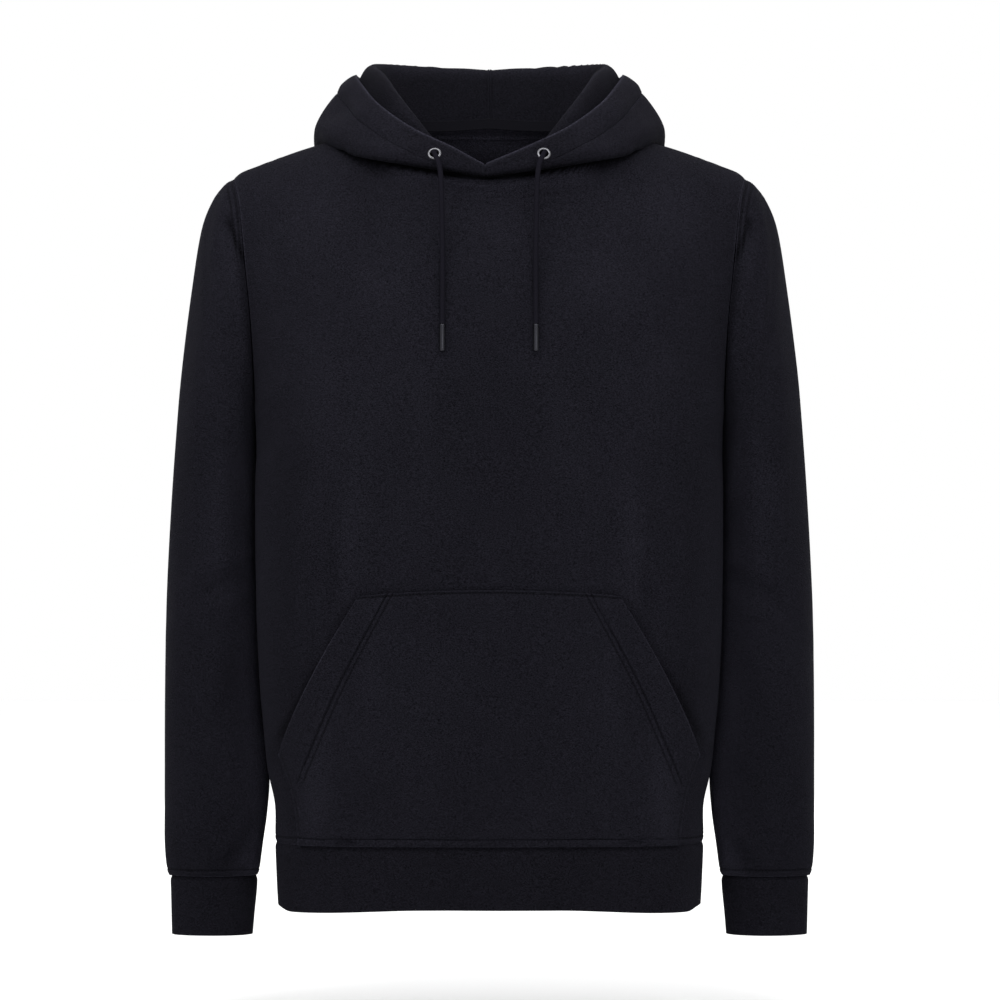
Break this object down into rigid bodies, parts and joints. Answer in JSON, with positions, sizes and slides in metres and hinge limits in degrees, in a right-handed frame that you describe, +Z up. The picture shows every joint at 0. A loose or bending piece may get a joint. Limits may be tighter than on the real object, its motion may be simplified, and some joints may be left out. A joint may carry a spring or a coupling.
{
  "type": "pullover hoodie",
  "caption": "Long-sleeved fleece pullover filled out as worn, with a folded-down hood, drawcord, kangaroo pocket, hem band and cuffs.",
  "frame": {"origin": "base of the wearer's neck, on the centre line between the shoulders, where the wearer holds the garment up", "axes": "+Z up along the body, -Y towards the front of the garment, +X towards the wearer's left sleeve"},
  "size_m": [0.5966, 0.2995, 0.7999],
  "materials": {
    "fleece": "black napped fleece with a soft matt pile",
    "fleece_band": "the same fleece, folded double and topstitched",
    "tape": "flat black herringbone tape",
    "cord": "round black knitted drawcord",
    "eyelet_metal": "dark gunmetal plating",
    "tip_metal": "dark satin crimped ends"
  },
  "bodies": {
    "root": {"body_front": "fleece", "body_back": "fleece", "sleeve_left": "fleece", "sleeve_right": "fleece", "pocket": "fleece", "hood_left": "fleece", "hood_right": "fleece", "hem_band": "fleece_band", "cuff_left": "fleece_band", "cuff_right": "fleece_band", "neck_tape": "tape", "eyelet_left": "eyelet_metal", "eyelet_right": "eyelet_metal", "cord_left": "cord", "cord_right": "cord", "cord_tip_left": "tip_metal", "cord_tip_right": "tip_metal"}
  },
  "joints": []
}
